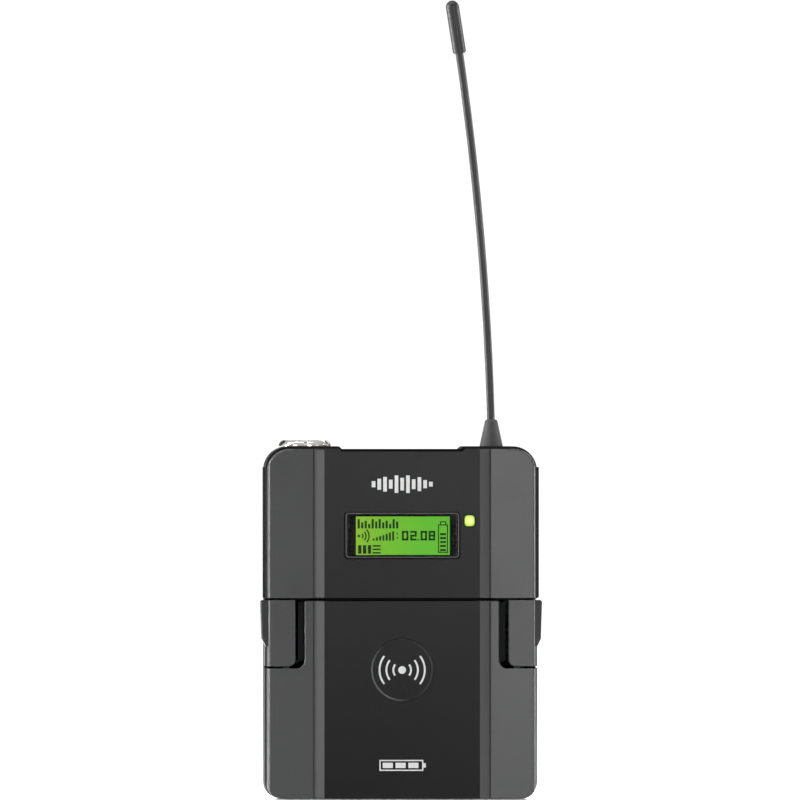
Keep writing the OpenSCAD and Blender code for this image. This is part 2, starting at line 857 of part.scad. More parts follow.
module screw(x, z, tip) {
    top = back_y - 0.1;
    difference() {
        union() {
            rod_y(x, [top - head_h, top], z, head_r);
            rod_y(x, [tip, top - head_h], z, shank_r);
        }
        for (s = [[0.25, 1.1], [1.1, 0.25]])
            block([x - s[0], x + s[0]], [top - 0.8, top + 1], [z - s[1], z + s[1]]);
    }
}

module housing_screws() color([0.2, 0.2, 0.2]) {
    both_sides() {
        screw(tower_x, tower_z, -4);
        screw(low_screw_x, low_screw_z, 3.2);
    }
}

rear_housing();
front_cover();
display_window();
lcd_glass();
lcd_frame();
backlight();
status_lamp();
display_board();
main_board();
rf_shield();
board_chips();
board_link();
inner_panel();
infrared_window();
key_switches();
set_key();
up_key();
down_key();
battery_tray();
lower_cell();
upper_cell();
contact_springs();
contact_plates();
socket_shell();
socket_nut();
socket_insert();
socket_pins();
socket_board();
audio_ribbon();
aerial_base();
aerial_boot();
aerial_whip();
aerial_tip();
aerial_lead();
power_switch();
power_slider();
battery_door();
door_pad();
door_hinge_pins();
left_tab();
right_tab();
left_tab_spring();
right_tab_spring();
belt_clip();
rating_plate();
charge_contacts();
housing_screws();
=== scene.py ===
import json
import math
import bmesh
import bpy
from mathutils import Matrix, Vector


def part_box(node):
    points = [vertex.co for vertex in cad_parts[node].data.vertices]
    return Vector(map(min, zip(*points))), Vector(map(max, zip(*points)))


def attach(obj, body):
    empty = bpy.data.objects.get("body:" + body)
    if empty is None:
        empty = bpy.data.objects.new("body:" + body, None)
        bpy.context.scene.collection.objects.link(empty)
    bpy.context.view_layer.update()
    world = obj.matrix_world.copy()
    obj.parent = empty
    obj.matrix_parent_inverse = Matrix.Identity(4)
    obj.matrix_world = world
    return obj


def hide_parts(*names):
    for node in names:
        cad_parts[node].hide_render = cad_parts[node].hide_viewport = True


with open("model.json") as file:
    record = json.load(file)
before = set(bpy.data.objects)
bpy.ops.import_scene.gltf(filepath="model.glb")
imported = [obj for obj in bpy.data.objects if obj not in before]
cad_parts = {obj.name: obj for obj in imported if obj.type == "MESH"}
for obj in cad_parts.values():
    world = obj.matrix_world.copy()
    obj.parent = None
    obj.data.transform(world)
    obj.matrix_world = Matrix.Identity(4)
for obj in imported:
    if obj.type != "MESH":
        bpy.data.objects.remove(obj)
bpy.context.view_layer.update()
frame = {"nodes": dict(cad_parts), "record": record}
NODES = frame["nodes"]
BODY_OF = {n: b for b, names in frame["record"]["behaviour"]["bodies"].items() for n in names}
SLOT_OF = {s["node"]: s["material_slot"] for s in frame["record"]["subparts"]}
MM = 0.001
scene = bpy.context.scene

# ---------------------------------------------------------------- camera
SENSOR_W = 36
VIEW_W = 0.19712
CAM_D = 6.0
CAM_AZ = math.radians(-2.35)
AIM = Vector((-0.00005, 0, 0.0981))
cam_data = bpy.data.cameras.new("camera")
cam = bpy.data.objects.new("camera", cam_data)
scene.collection.objects.link(cam)
scene.camera = cam
cam_data.sensor_width = SENSOR_W
cam_data.lens = SENSOR_W * CAM_D / VIEW_W
cam_data.clip_start = 0.05
cam_data.clip_end = 60
back = Vector((math.sin(CAM_AZ), -math.cos(CAM_AZ), 0))
cam.location = AIM + back * CAM_D
cam.rotation_mode = "QUATERNION"
cam.rotation_quaternion = (-back).to_track_quat("-Z", "Y")
scene.view_settings.view_transform = "Standard"
scene.view_settings.look = "None"


# ---------------------------------------------------------------- node helpers
def coords(nt, scale=None):
    out = nt.nodes.new("ShaderNodeTexCoord").outputs["Object"]
    if scale is None:
        return out
    m = nt.nodes.new("ShaderNodeMapping")
    m.inputs["Scale"].default_value = scale
    nt.links.new(out, m.inputs["Vector"])
    return m.outputs[0]


def split(nt, vec):
    sep = nt.nodes.new("ShaderNodeSeparateXYZ")
    nt.links.new(vec, sep.inputs[0])
    return sep.outputs


def noise(nt, vec, scale, detail=4):
    n = nt.nodes.new("ShaderNodeTexNoise")
    n.inputs["Scale"].default_value = scale
    n.inputs["Detail"].default_value = detail
    n.inputs["Roughness"].default_value = 0.6
    nt.links.new(vec, n.inputs["Vector"])
    return n.outputs["Fac"]


def cells(nt, vec, scale):
    n = nt.nodes.new("ShaderNodeTexVoronoi")
    n.inputs["Scale"].default_value = scale
    nt.links.new(vec, n.inputs["Vector"])
    return n.outputs["Distance"]


def ramp(nt, fac, stops):
    r = nt.nodes.new("ShaderNodeValToRGB")
    while len(r.color_ramp.elements) < len(stops):
        r.color_ramp.elements.new(0.5)
    for e, (p, c) in zip(r.color_ramp.elements, stops):
        e.position = p
        e.color = (*c, 1)
    nt.links.new(fac, r.inputs[0])
    return r.outputs[0]


def scalar_ramp(nt, fac, lo, hi, p0=0.3, p1=0.7):
    m = nt.nodes.new("ShaderNodeMapRange")
    for key, v in (("From Min", p0), ("From Max", p1), ("To Min", lo), ("To Max", hi)):
        m.inputs[key].default_value = v
    nt.links.new(fac, m.inputs["Value"])
    return m.outputs[0]


def feed(nt, sock, v):
    if isinstance(v, (int, float)):
        sock.default_value = v
    elif isinstance(v, tuple):
        sock.default_value = (*v, 1)
    else:
        nt.links.new(v, sock)


def math_node(nt, op, *values):
    m = nt.nodes.new("ShaderNodeMath")
    m.operation = op
    for sock, v in zip(m.inputs, values):
        feed(nt, sock, v)
    return m.outputs[0]


def times(nt, a, b):
    return math_node(nt, "MULTIPLY", a, b)


def plus(nt, a, b):
    return math_node(nt, "ADD", a, b)


def minus(nt, a, b):
    return math_node(nt, "SUBTRACT", a, b)


def above(nt, a, b):
    return math_node(nt, "GREATER_THAN", a, b)


def below(nt, a, b):
    return math_node(nt, "LESS_THAN", a, b)


def between(nt, v, low, high):
    return times(nt, above(nt, v, low), below(nt, v, high))


def length(nt, a, b):
    return math_node(nt, "SQRT", plus(nt, times(nt, a, a), times(nt, b, b)))


def bump(nt, height, strength, distance):
    b = nt.nodes.new("ShaderNodeBump")
    b.inputs["Strength"].default_value = strength
    b.inputs["Distance"].default_value = distance
    nt.links.new(height, b.inputs["Height"])
    return b.outputs[0]


def mix_color(nt, fac, a, b, blend="MIX"):
    m = nt.nodes.new("ShaderNodeMix")
    m.data_type = "RGBA"
    m.blend_type = blend
    feed(nt, m.inputs[0], fac)
    feed(nt, m.inputs[6], a)
    feed(nt, m.inputs[7], b)
    return m.outputs[2]


# ---------------------------------------------------------------- light
ROOM_LOW, ROOM_HIGH = 0.23, 0.6
FLAG_BLACK, SCREEN_WHITE = (0.02, 0.02, 0.02), (1.06, 1.06, 1.06)
SCREEN_LEFT, SCREEN_RIGHT = (-0.030, -0.026), (0.068, 0.072)
MIDDLE = (0, 0, 0.06)
world = bpy.data.worlds.new("studio")
scene.world = world
world.use_nodes = True


def light_world(nt):
    """An even grey room, brighter overhead. A white screen stands far behind the object,
    between two black flags."""
    background = nt.nodes["Background"]
    way = split(nt, nt.nodes.new("ShaderNodeTexCoord").outputs["Generated"])
    room = scalar_ramp(nt, way[2], ROOM_LOW, ROOM_HIGH, -0.2, 0.9)
    behind = scalar_ramp(nt, way[1], 0, 1, 0.975, 0.985)
    across = times(nt, scalar_ramp(nt, way[0], 0, 1, *SCREEN_LEFT),
                   scalar_ramp(nt, way[0], 1, 0, *SCREEN_RIGHT))
    screen = mix_color(nt, across, FLAG_BLACK, SCREEN_WHITE)
    nt.links.new(mix_color(nt, behind, room, screen), background.inputs[0])
    background.inputs[1].default_value = 1.0


def around(azimuth, distance, z):
    """A place at an azimuth from the front, in degrees, positive to the right."""
    a = math.radians(azimuth)
    return (distance * math.sin(a), -distance * math.cos(a), z)


def softbox(name, at, w, h, watts):
    data = bpy.data.lights.new(name, "AREA")
    data.shape = "RECTANGLE"
    data.size = w
    data.size_y = h
    data.energy = watts
    o = bpy.data.objects.new(name, data)
    scene.collection.objects.link(o)
    o.location = at
    o.rotation_mode = "QUATERNION"
    o.rotation_quaternion = (Vector(MIDDLE) - Vector(at)).to_track_quat("-Z", "Y")


light_world(world.node_tree)
softbox("right_box", around(18, 1.25, 0.14), 0.33, 1.1, 4.65)
softbox("right_low_box", around(54, 1.2, 0.2), 0.3, 0.9, 0.4)
softbox("left_box", around(-46, 1.2, 0.2), 0.35, 0.9, 1.5)
softbox("left_strip", around(-92, 0.9, 0.1), 0.045, 1.0, 19.0)
softbox("right_strip", around(96, 1.0, 0.1), 0.07, 0.8, 9.0)
softbox("left_top_strip", (-0.62, -0.03, 0.75), 0.05, 0.8, 3.0)
softbox("top_box", (0.0, -0.15, 1.1), 0.8, 0.5, 3.0)
softbox("back_box", around(155, 1.4, 0.7), 0.6, 0.6, 4.5)


# ---------------------------------------------------------------- materials
def material(name, build):
    m = bpy.data.materials.new(name)
    m.use_nodes = True
    nt = m.node_tree
    nt.nodes.clear()
    out = nt.nodes.new("ShaderNodeOutputMaterial")
    shader = nt.nodes.new("ShaderNodeBsdfPrincipled")
    nt.links.new(shader.outputs[0], out.inputs[0])
    build(nt, shader)
    return m


def surface(name, dark, light, rough, grain=1800, depth=0.02, strength=0.25, stretch=None, more=None,
            gloss=None, **sockets):
    """Fine grain in height and colour with slow patches of roughness, the grain's depth in mm.
    more(nt, color) changes the colour, gloss(nt) gives the shine, and sockets sets uniform inputs."""
    def build(nt, shader):
        fine = noise(nt, coords(nt, stretch), grain, 3)
        slow = noise(nt, coords(nt), 45)
        both = plus(nt, times(nt, fine, 0.6), times(nt, slow, 0.4))
        color = ramp(nt, both, [(0.3, dark), (0.7, light)])
        if more:
            color = more(nt, color)
        nt.links.new(color, shader.inputs["Base Color"])
        nt.links.new(scalar_ramp(nt, slow, rough - 0.03, rough + 0.04), shader.inputs["Roughness"])
        nt.links.new(bump(nt, fine, strength, depth * MM), shader.inputs["Normal"])
        if gloss:
            nt.links.new(gloss(nt), shader.inputs["Specular IOR Level"])
        for key, v in sockets.items():
            shader.inputs[key.replace("_", " ")].default_value = v
    return material(name, build)


nut_low, nut_high = (Vector(corner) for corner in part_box("socket_nut"))
NUT_X = (nut_low.x + nut_high.x) / 2
NUT_TOP = nut_high.z

# Middles of the round dish and of the lamp, in mm
DISH_Z = 31.7
LAMP_X, LAMP_Z = 16.6, 68.4

# Where the colour changes, in metres, for paint and for painted shade and highlights. Places across the front
# count from its middle line.
FRONT_Y = -0.0105
PANEL_X = 0.01915
PANEL_Z = (0.004, 0.084)
GROOVE_X = (0.02150, 0.02195)
SIDE_X = 0.0329
SHOULDER_X = (0.0149, 0.0156)
TOP_Z, SHOULDER_Z = 0.08545, 0.08618
DISH_RIM = (0.00722, 0.0077)
PAD_X, PAD_Z = 0.03353, 0.0374
RIB_X, RIB_Z = 0.03412, 0.0397
DARK_REFLECTION_X = (0.0044, 0.0047)
SLANT_DROP = (0.00005, 0.00003)
INWARD = 0.35

PANEL_TONE = (0.08, 0.08, 0.084)
# Painted highlight: how much lighter the rim of the round dish is drawn
RIM_HIGHLIGHT = (2.6, 2.6, 2.6)
# Near black: bare plastic along the top edge, and painted shade in the grooves
BARE_OR_SHADE = (0.004, 0.004, 0.0045)
# Near black: bare plastic on the inner faces, and painted shade on the side walls
DARK_SIDE = (0.012, 0.012, 0.0125)
RUBBER = (0.018, 0.018, 0.0185)
# Painted dark reflection on the nut's rim
DARK_REFLECTION = (0.02, 0.02, 0.02)
BLACK = (0.0, 0.0, 0.0)


def on_front(nt):
    """The place as x, |x| and z, then 1 on the front, and 1 on its raised middle panel."""
    x, y, z = split(nt, coords(nt))
    across = math_node(nt, "ABSOLUTE", x)
    front = below(nt, y, FRONT_Y)
    return x, across, z, front, times(nt, front, below(nt, across, PANEL_X))


def top_edge(nt, across, z):
    """1 along the unpainted top edge, which is higher on the two shoulders."""
    return above(nt, z, scalar_ramp(nt, across, TOP_Z, SHOULDER_Z, *SHOULDER_X))


def dish_rim_highlight(nt, x, z):
    """How bright a painted highlight on the rim of the round dish is: most at its lower left, and a little at
    its right.
    """
    up = minus(nt, z, DISH_Z * MM)
    rim = between(nt, length(nt, x, up), *DISH_RIM)
    low_left = plus(nt, times(nt, x, -0.9), times(nt, up, -0.45))
    highlight = plus(nt, scalar_ramp(nt, low_left, 0, 0.85, 0.0015, 0.0066),
                scalar_ramp(nt, x, 0, 0.25, 0.002, 0.007))
    return times(nt, rim, highlight)


def two_tone_and_painted_light(nt, color):
    """Darker paint on the raised middle panel of the front, with a painted highlight on the rim of the round
    dish.
    Bare black plastic shows inside and along the top edge; painted shade darkens the side walls and the
    groove beside each strip."""
    x, across, z, front, panel = on_front(nt)
    # A painted highlight lightens the darker panel paint on the dish rim
    tone = mix_color(nt, dish_rim_highlight(nt, x, z), PANEL_TONE, RIM_HIGHLIGHT)
    color = mix_color(nt, panel, color, tone, "MULTIPLY")
    facing = split(nt, nt.nodes.new("ShaderNodeTexCoord").outputs["Normal"])
    # Bare plastic on the inner faces, and painted shade darkening the side walls
    bare_inside_shaded_sides = math_node(nt, "MAXIMUM", above(nt, facing[1], INWARD), above(nt, across, SIDE_X))
    color = mix_color(nt, bare_inside_shaded_sides, color, DARK_SIDE)
    # Painted shade: the groove beside each strip is drawn near black; the top edge is bare black plastic
    groove = times(nt, front, between(nt, across, *GROOVE_X))
    return mix_color(nt, math_node(nt, "MAXIMUM", groove, top_edge(nt, across, z)), color, BARE_OR_SHADE)


def front_gloss(nt):
    """The darker panel shines less, and less still towards the foot. The bare top edge is matt."""
    _, across, z, _, panel = on_front(nt)
    shine = minus(nt, 0.5, times(nt, panel, scalar_ramp(nt, z, 0.30, 0.06, *PANEL_Z)))
    return times(nt, shine, minus(nt, 1.0, top_edge(nt, across, z)))


def pad_rubber_and_shade(nt, color):
    """Dark rubber on the finger pad, blackest in its grooves as painted shade, and painted shade darkening
    the side beside it.
    """
    x, _, z = split(nt, coords(nt))
    across = math_node(nt, "ABSOLUTE", x)
    pad = times(nt, above(nt, across, PAD_X), above(nt, z, PAD_Z))
    # Painted shade: the pad's grooves are drawn near black
    low = times(nt, below(nt, across, RIB_X), above(nt, z, RIB_Z))
    # Painted shade: the tab's side wall is drawn dark
    color = mix_color(nt, above(nt, across, SIDE_X), color, DARK_SIDE)
    return mix_color(nt, pad, color, mix_color(nt, low, RUBBER, BARE_OR_SHADE))


def nut_dark_reflection(nt, color):
    """A painted dark reflection on the slanted rim of the nut, at its two ends."""
    x, _, z = split(nt, coords(nt))
    off = math_node(nt, "ABSOLUTE", minus(nt, x, NUT_X))
    ends = scalar_ramp(nt, plus(nt, off, z), 0, 1, *(NUT_TOP + d for d in DARK_REFLECTION_X))
    slant = scalar_ramp(nt, z, 1, 0, *(NUT_TOP - d for d in SLANT_DROP))
    return mix_color(nt, times(nt, ends, slant), color, DARK_REFLECTION)


COPPER_GREEN = (0.05, 0.22, 0.09)
SOLDER = (0.55, 0.56, 0.55)
COPPER = (0.55, 0.25, 0.07)
RIBBON_PITCH = 0.0008
LCD_PITCH = 0.00042
BAND_X = (0.0122, 0.0123)
RING_X = (0.0106, 0.0107, 0.0112, 0.0113)


def traces(nt, color):
    """Lighter copper tracks under the green lacquer, in short straight runs, and round solder pads."""
    b = nt.nodes.new("ShaderNodeTexBrick")
    b.inputs["Scale"].default_value = 260
    b.inputs["Mortar Size"].default_value = 0.025
    b.inputs["Color1"].default_value = (0, 0, 0, 1)
    b.inputs["Color2"].default_value = (0, 0, 0, 1)
    b.inputs["Mortar"].default_value = (1, 1, 1, 1)
    swap = nt.nodes.new("ShaderNodeCombineXYZ")
    x, _, z = split(nt, coords(nt))
    nt.links.new(x, swap.inputs[0])
    nt.links.new(z, swap.inputs[1])
    nt.links.new(swap.outputs[0], b.inputs["Vector"])
    run = scalar_ramp(nt, noise(nt, coords(nt), 120, 1), 0, 1, 0.48, 0.52)
    line = times(nt, b.outputs["Color"], run)
    pads = scalar_ramp(nt, cells(nt, coords(nt), 420), 1, 0, 0.10, 0.13)
    return mix_color(nt, pads, mix_color(nt, line, color, COPPER_GREEN), SOLDER)


def stripes(nt, v, pitch):
    """A sine wave along v."""
    return math_node(nt, "SINE", times(nt, v, 2 * math.pi / pitch))


def ribbon_lines(nt, color):
    """Copper conductors side by side along the flat cable."""
    wave = stripes(nt, split(nt, coords(nt))[0], RIBBON_PITCH)
    return mix_color(nt, scalar_ramp(nt, wave, 0, 1, 0.0, 0.3), color, COPPER)


def label_band(side):
    """A grey wrap near the positive end, with a thin pale ring beside it."""
    def more(nt, color):
        x = times(nt, split(nt, coords(nt))[0], side)
        band = scalar_ramp(nt, x, 0, 1, *BAND_X)
        ring = times(nt, scalar_ramp(nt, x, 0, 1, *RING_X[:2]), scalar_ramp(nt, x, 1, 0, *RING_X[2:]))
        color = mix_color(nt, band, color, (0.34, 0.36, 0.38))
        return mix_color(nt, ring, color, (0.7, 0.68, 0.62))
    return more


def lcd_green(nt, shader):
    """Backlit liquid crystal: yellower at the left, with the faint lines of its pixels."""
    x, _, z = split(nt, coords(nt))
    cloud = noise(nt, coords(nt), 160, 2)
    across = plus(nt, scalar_ramp(nt, x, 0, 1, -0.0120, 0.0085), times(nt, cloud, 0.25))
    tone = ramp(nt, across,
                [(0.1, (0.27, 0.48, 0.03)), (0.5, (0.16, 0.47, 0.028)), (1.0, (0.11, 0.46, 0.03))])
    grid = math_node(nt, "MAXIMUM", stripes(nt, x, LCD_PITCH), stripes(nt, z, LCD_PITCH))
    tone = mix_color(nt, scalar_ramp(nt, grid, 0, 0.10, 0.2, 1.0), tone, (0.35, 0.75, 0.12))
    nt.links.new(tone, shader.inputs["Emission Color"])
    nt.links.new(mix_color(nt, 0.9, tone, BLACK), shader.inputs["Base Color"])
    nt.links.new(scalar_ramp(nt, cloud, 0.3, 0.4), shader.inputs["Roughness"])
    shader.inputs["Specular IOR Level"].default_value = 0.1
    shader.inputs["Emission Strength"].default_value = 0.95


def lamp_lime(nt, shader):
    """A lit lime lens, paler in the middle."""
    x, _, z = split(nt, coords(nt))
    off = length(nt, minus(nt, x, LAMP_X * MM), minus(nt, z, LAMP_Z * MM))
    off = plus(nt, off, times(nt, noise(nt, coords(nt), 900, 2), 0.0002))
    tone = ramp(nt, scalar_ramp(nt, off, 0, 1, 0.0002, 0.0016),
                [(0.0, (0.78, 0.90, 0.36)), (0.55, (0.62, 0.84, 0.15)), (1.0, (0.22, 0.40, 0.02))])
    nt.links.new(tone, shader.inputs["Emission Color"])
    nt.links.new(mix_color(nt, 0.6, tone, BLACK), shader.inputs["Base Color"])
    nt.links.new(scalar_ramp(nt, noise(nt, coords(nt), 300, 2), 0.18, 0.25), shader.inputs["Roughness"])
    shader.inputs["Emission Strength"].default_value = 0.9


def window_clear(nt, shader):
    """Clear acrylic with an anti-glare skin."""
    vec = coords(nt)
    tint = ramp(nt, noise(nt, vec, 60, 2), [(0.3, (0.97, 0.98, 0.97)), (0.7, (1, 1, 1))])
    nt.links.new(tint, shader.inputs["Base Color"])
    nt.links.new(scalar_ramp(nt, noise(nt, vec, 200, 3), 0.0, 0.02), shader.inputs["Roughness"])
    shader.inputs["Transmission Weight"].default_value = 1.0
    shader.inputs["IOR"].default_value = 1.12


MATERIALS = {
    "casing": surface("casing_paint", (0.0375, 0.0378, 0.0385), (0.0445, 0.045, 0.0458), 0.30, grain=2600,
                      depth=0.010, strength=0.2, more=two_tone_and_painted_light, gloss=front_gloss),
    "tab_grey": surface("tab_paint", (0.035, 0.0352, 0.036), (0.0445, 0.045, 0.0458), 0.33, grain=2200,
                        depth=0.016, strength=0.3, more=pad_rubber_and_shade),
    "black_plastic": surface("moulded_black", (0.004, 0.004, 0.0048), (0.009, 0.009, 0.0102), 0.5, grain=1500,
                             depth=0.03, strength=0.35, Specular_IOR_Level=0.2),
    "key_grey": surface("key_rubber", (0.10, 0.102, 0.105), (0.13, 0.132, 0.136), 0.62, grain=1900),
    "window": material("window_acrylic", window_clear),
    "lcd": material("lcd_green", lcd_green),
    "diffuser": surface("diffuser_white", (0.75, 0.8, 0.62), (0.82, 0.86, 0.7), 0.55, grain=900),
    "lamp": material("lamp_lime", lamp_lime),
    "infrared_red": surface("infrared_red", (0.05, 0.002, 0.004), (0.09, 0.004, 0.008), 0.12, grain=500,
                            depth=0.004, Coat_Weight=0.6),
    "circuit_board": surface("board_lacquer", (0.006, 0.062, 0.022), (0.010, 0.085, 0.030), 0.32, grain=700,
                             depth=0.01, more=traces, Coat_Weight=0.4),
    "chip_black": surface("chip_resin", (0.012, 0.012, 0.013), (0.020, 0.020, 0.022), 0.55, grain=3200,
                          depth=0.015),
    "tinplate": surface("tinplate", (0.62, 0.63, 0.63), (0.74, 0.75, 0.75), 0.30, grain=1200, depth=0.01,
                        stretch=(0.05, 1, 1), Metallic=1.0),
    # The nut's rim carries a painted dark reflection at its two ends
    "nickel": surface("nickel_satin", (0.84, 0.825, 0.79), (0.93, 0.915, 0.88), 0.13, grain=1400, depth=0.004,
                      stretch=(1, 1, 0.08), more=nut_dark_reflection, Metallic=1.0),
    "gilt": surface("gilt", (0.80, 0.56, 0.20), (0.90, 0.66, 0.27), 0.24, depth=0.006, Metallic=1.0),
    "cell_jacket": surface("cell_steel", (0.66, 0.66, 0.66), (0.76, 0.76, 0.76), 0.30, grain=1400,
                           depth=0.008, Metallic=1.0),
    "aerial_rubber": surface("aerial_rubber", (0.0085, 0.0085, 0.009), (0.016, 0.016, 0.017), 0.40,
                             grain=2600, depth=0.012, stretch=(1, 1, 0.15)),
    "clip_wire": surface("clip_coating", (0.010, 0.010, 0.011), (0.022, 0.022, 0.023), 0.33, grain=1700),
    "plate_grey": surface("plate_film", (0.10, 0.10, 0.105), (0.125, 0.125, 0.13), 0.45, grain=2600,
                          depth=0.01),
    "ribbon": surface("ribbon_film", (0.36, 0.13, 0.02), (0.44, 0.17, 0.03), 0.3, grain=900,
                      more=ribbon_lines, Coat_Weight=0.5),
    "lead_jacket": surface("lead_jacket", (0.012, 0.012, 0.013), (0.02, 0.02, 0.021), 0.5),
    "foam": surface("foam", (0.03, 0.03, 0.033), (0.075, 0.075, 0.08), 0.9, grain=1300, depth=0.25,
                    strength=0.8),
    "screw_steel": surface("screw_blacked", (0.045, 0.045, 0.047), (0.085, 0.085, 0.088), 0.32, grain=1500,
                           depth=0.01, Metallic=0.9),
}
INK_WHITE = surface("ink_white", (0.60, 0.60, 0.60), (0.70, 0.70, 0.70), 0.6, grain=2600, depth=0.008)
INK_LCD = surface("ink_lcd", (0.006, 0.035, 0.004), (0.012, 0.055, 0.007), 0.5, grain=2600, depth=0.004,
                  Specular_IOR_Level=0.2)
# Painted highlight: a lighter grey for the lit edge of the lens
LENS_HIGHLIGHT_GREY = surface("lens_edge_highlight", (0.12, 0.12, 0.125), (0.16, 0.16, 0.165), 0.3, grain=900, depth=0.004)
MATT_BLACK = surface("matt_black", (0.0035, 0.0035, 0.0045), (0.006, 0.006, 0.0075), 0.55, grain=1200,
                     depth=0.004, Specular_IOR_Level=0.12)
BOOT_RUBBER = surface("boot_rubber", (0.030, 0.030, 0.031), (0.062, 0.062, 0.064), 0.68, grain=900,
                      depth=0.03, strength=0.5)


def cell_wrap(side, name):
    """A cell's printed jacket. side is 1 where the positive end faces +X, and -1 where it faces -X."""
    return surface(f"cell_wrap_{name}", (0.010, 0.020, 0.048), (0.015, 0.028, 0.062), 0.25, grain=600,
                   depth=0.004, more=label_band(side), Coat_Weight=0.3)


JACKET = {1: cell_wrap(1, "right"), -1: cell_wrap(-1, "left")}


# ---------------------------------------------------------------- mesh helpers
def add_piece(name, mesh, body="chassis", slot="black_plastic", replaced=(), finish=None):
    o = bpy.data.objects.new(name, mesh)
    scene.collection.objects.link(o)
    mesh.materials.clear()
    mesh.materials.append(finish or MATERIALS[slot])
    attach(o, body)
    for n in replaced:
        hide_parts(n)
    return o


def face_outwards(mesh, merge):
    """Turns every face of a closed skin outwards, and with merge first joins points that coincide."""
    bm = bmesh.new()
    bm.from_mesh(mesh)
    if merge:
        bmesh.ops.remove_doubles(bm, verts=bm.verts, dist=1e-6)
    bmesh.ops.recalc_face_normals(bm, faces=bm.faces)
    bm.to_mesh(mesh)
    bm.free()


def make(name, verts, faces, smooth=True, sharp=35, merge=False, **where):
    mesh = bpy.data.meshes.new(name)
    mesh.from_pydata([Vector(v) * MM for v in verts], [], faces)
    mesh.validate()
    face_outwards(mesh, merge)
    for p in mesh.polygons:
        p.use_smooth = smooth
    if smooth:
        mesh.set_sharp_from_angle(angle=math.radians(sharp))
    return add_piece(name, mesh, **where)


def shade_corners(bm, mesh, tag, spread=12, reach=50):
    """Corner normals: flat on flat faces, smooth on curved ones, rolling over only within a rounded edge."""
    turn, far = math.cos(math.radians(spread)), math.cos(math.radians(reach))
    normals = []
    for f in bm.faces:
        for v in f.verts:
            flat = [g for g in v.link_faces if not g[tag]]
            if f[tag]:
                rolled = [g for g in v.link_faces if g[tag] and g.normal.dot(f.normal) > far]
                n = sum_normals([g for g in flat if g.normal.dot(f.normal) > far] or rolled)
            else:
                n = sum_normals([g for g in flat if g.normal.dot(f.normal) > turn])
            normals.append(n if n.length > 0.5 else f.normal.copy())
    mesh.normals_split_custom_set(normals)


def sum_normals(faces):
    n = Vector()
    for g in faces:
        n += g.normal * g.calc_area()
    return n.normalized()


def rounded(node, widths, sharp=14, finish=None, slot=None):
    """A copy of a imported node, its facets merged and its sharp edges rounded.
    widths(x, y, z) takes the middle of a sharp edge in mm and gives the radius there, or 0."""
    bm = bmesh.new()
    bm.from_mesh(NODES[node].data)
    bmesh.ops.remove_doubles(bm, verts=bm.verts, dist=2e-6)
    bmesh.ops.dissolve_limit(bm, angle_limit=math.radians(0.6), verts=bm.verts, edges=bm.edges)
    tag = bm.faces.layers.int.new("rolled")
    groups = {}
    for e in bm.edges:
        if e.is_manifold and e.calc_face_angle(0) > math.radians(sharp):
            p = (e.verts[0].co + e.verts[1].co) / (2 * MM)
            w = widths(*p)
            if w > 0:
                groups.setdefault(w, []).append(e)
    for w in sorted(groups, reverse=True):
        edges = [e for e in groups[w] if e.is_valid]
        made = bmesh.ops.bevel(bm, geom=edges, offset=w * MM, offset_type="OFFSET", segments=3,
                               profile=0.5, affect="EDGES", clamp_overlap=False)
        for f in made["faces"]:
            f[tag] = 1
    bm.normal_update()
    bm.faces.index_update()
    name = node + "_shell"
    mesh = bpy.data.meshes.new(name)
    bm.to_mesh(mesh)
    for p in mesh.polygons:
        p.use_smooth = True
    shade_corners(bm, mesh, tag)
    bm.free()
    return add_piece(name, mesh, BODY_OF[node], slot or SLOT_OF[node], [node], finish)


# ---------------------------------------------------------------- floor
def floor_white(nt, shader):
    vec = coords(nt)
    grain = noise(nt, vec, 300, 3)
    tone = ramp(nt, grain, [(0.3, (0.86, 0.86, 0.86)), (0.7, (0.9, 0.9, 0.9))])
    nt.links.new(tone, shader.inputs["Base Color"])
    nt.links.new(tone, shader.inputs["Emission Color"])
    nt.links.new(bump(nt, grain, 0.1, 0.0002), shader.inputs["Normal"])
    glow = scalar_ramp(nt, split(nt, vec)[1], 0.0, 0.75, -0.02, 0.12)
    nt.links.new(glow, shader.inputs["Emission Strength"])
    shader.inputs["Roughness"].default_value = 0.85
    shader.inputs["Specular IOR Level"].default_value = 0.2


def stage_mesh(name, verts, faces, finish):
    mesh = bpy.data.meshes.new(name)
    mesh.from_pydata(verts, [], faces)
    mesh.materials.append(finish)
    o = bpy.data.objects.new(name, mesh)
    scene.collection.objects.link(o)


# The open door reaches 2.7 mm below the base, so the object stands on a low block and the floor lies lower.
FLOOR_Z = -0.0029
FLOOR_HALF = 12
BLOCK_TOP = -0.0002
BLOCK_X = 0.031
BLOCK_Y = (-0.0046, 0.0105)
CORNERS = ((-1, -1), (1, -1), (1, 1), (-1, 1))
paper = material("floor_paper", floor_white)
stage_mesh("floor", [(x * FLOOR_HALF, y * FLOOR_HALF, FLOOR_Z) for x, y in CORNERS], [(0, 1, 2, 3)], paper)
stage_mesh("block", [(x * BLOCK_X, BLOCK_Y[y > 0], z) for z in (FLOOR_Z, BLOCK_TOP) for x, y in CORNERS],
           [(0, 1, 5, 4), (1, 2, 6, 5), (2, 3, 7, 6), (3, 0, 4, 7), (4, 5, 6, 7)], paper)

for name, obj in NODES.items():
    obj.data.materials.clear()
    obj.data.materials.append(MATERIALS[SLOT_OF[name]])


# ---------------------------------------------------------------- casing shells
RIM_Y = -9.0
PANEL_FACE_Y = -11.9


def near(v, a, b):
    return a <= v <= b


